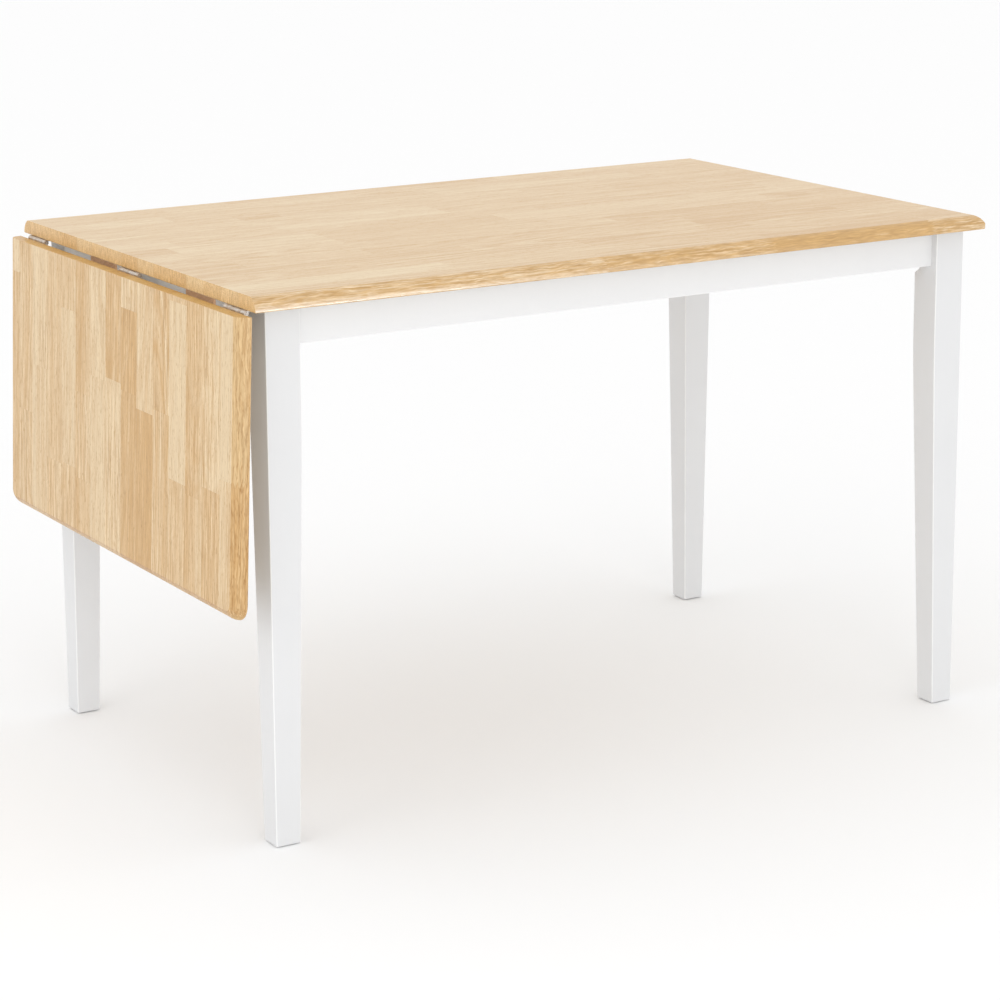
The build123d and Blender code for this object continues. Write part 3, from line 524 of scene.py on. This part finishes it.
paint = {}
for name, obj in nodes.items():
    if name == "tabletop":
        wear(obj, top_wood)
    elif name == "leaf":
        wear(obj, leaf_wood)
    elif name.startswith("leg_") or name.startswith("apron_"):
        kind = name.split("_")[0]
        if kind not in paint:
            # the aprons get a brighter copy of the same paint, painted light against the
            # shade under the top's overhang, and the legs a darker copy, painted shade
            paint[kind] = painted(f"white_satin_paint_{kind}", 1.0 + len(paint),
                                  1.055 if kind == "apron" else 0.965)
        wear(obj, paint[kind])
    elif name.startswith("corner_block") and name != "corner_block_screws":
        wear(obj, frame_wood["z"])
    elif name == "guide_rail":
        wear(obj, frame_wood["x"])
    elif name.startswith("support_slide"):
        wear(obj, support_wood)
    elif name.startswith("stop_peg") or name == "guide_rail_dowels":
        wear(obj, dowel_wood)
    elif name.startswith("hinge_screws"):
        wear(obj, screw_steel)
    elif name.startswith("hinge_"):
        wear(obj, hinge_steel)
    elif name.startswith("foot_glide"):
        wear(obj, glide)
    else:
        wear(obj, screw_steel)

# ------------------------------------------------------------------------- stage
scene = bpy.context.scene
scene.view_settings.view_transform = "Standard"
scene.view_settings.look = "None"

floor_mesh = bpy.data.meshes.new("studio_floor")
size = 30.0
floor_mesh.from_pydata([(-size, -size, 0), (size, -size, 0), (size, size, 0),
                        (-size, size, 0)], [], [(0, 1, 2, 3)])
floor = bpy.data.objects.new("studio_floor", floor_mesh)
floor.location.z = -0.0005
scene.collection.objects.link(floor)
t = Tree("pale_floor")
wear(floor, t.surface((0.95, 0.95, 0.95), 0.9, None))

world = bpy.data.worlds.new("studio")
world.use_nodes = True
background = world.node_tree.nodes["Background"]
background.inputs["Color"].default_value = (1.0, 1.0, 1.0, 1)
background.inputs["Strength"].default_value = 1.03
scene.world = world


def softbox(name, place, target, width, height, power):
    light = bpy.data.lights.new(name, "AREA")
    light.shape, light.size, light.size_y = "RECTANGLE", width, height
    light.energy = power
    obj = bpy.data.objects.new(name, light)
    obj.location = place
    obj.rotation_mode = "QUATERNION"
    obj.rotation_quaternion = (Vector(target) - Vector(place)).to_track_quat("-Z", "Y")
    obj.visible_camera = False
    scene.collection.objects.link(obj)
    return obj


def only_on(light, *objects):
    """A light aimed at some objects and no others."""
    group = bpy.data.collections.new(light.name + "_receivers")
    for obj in objects:
        group.objects.link(obj)
    light.light_linking.receiver_collection = group


# two softboxes; polarised where they light the lacquered top, so that they leave
# no glare on it
rest = [floor] + [obj for name, obj in nodes.items() if name != "tabletop"]
for name, *setting in (("front_softbox", (-1.3, -4.4, 1.4), (-0.2, 0, 0.5), 1.4, 2.0, 22.0),
                       ("left_softbox", (-4.6, -1.2, 2.4), (0, 0, 0.5), 2.4, 1.8, 16.0)):
    only_on(softbox(name, *setting), *rest)
    polarised = softbox(name + "_polarised", *setting)
    polarised.visible_glossy = False
    only_on(polarised, nodes["tabletop"])
# a low reflector that only puts the bright line on the lacquered front edge
strip = softbox("low_reflector", (0.42, -2.60, 0.58), (-0.6, -0.375, 0.733), 0.85, 0.76, 95.0)
strip.data.color = (0.72, 0.87, 1.0)
strip.visible_diffuse = False
only_on(strip, nodes["tabletop"])
# a fill card beside the camera that reaches into the gap over the hanging leaf
card = softbox("gap_card", (-2.45, -4.05, 1.56), (-0.56, 0.0, 0.72), 0.8, 0.8, 115.0)
only_on(card, *[obj for name, obj in nodes.items()
                if name == "apron_leaf_end" or name.startswith("support_slide")])

# ------------------------------------------------------------------------ camera
# A long lens from the front left, a little above the table, its vertical shift
# holding the table in the middle of the frame.
yaw, pitch, roll = (math.radians(v) for v in (31.48, -12.261, -0.305))
ahead = Vector((math.sin(yaw) * math.cos(pitch), math.cos(yaw) * math.cos(pitch),
                math.sin(pitch)))
side = Vector((math.cos(yaw), -math.sin(yaw), 0.0))
up = side.cross(ahead)
right = side * math.cos(roll) + up * math.sin(roll)
top = up * math.cos(roll) - side * math.sin(roll)
lens = bpy.data.cameras.new("camera")
lens.sensor_width = 36.0
lens.lens = 105.756
lens.shift_y = -0.12
lens.clip_start, lens.clip_end = 0.1, 100.0
camera = bpy.data.objects.new("camera", lens)
turn = Matrix((right, top, -ahead)).transposed().to_4x4()
camera.matrix_world = Matrix.Translation((-2.21572, -3.63591, 1.4331)) @ turn
scene.collection.objects.link(camera)
scene.camera = camera
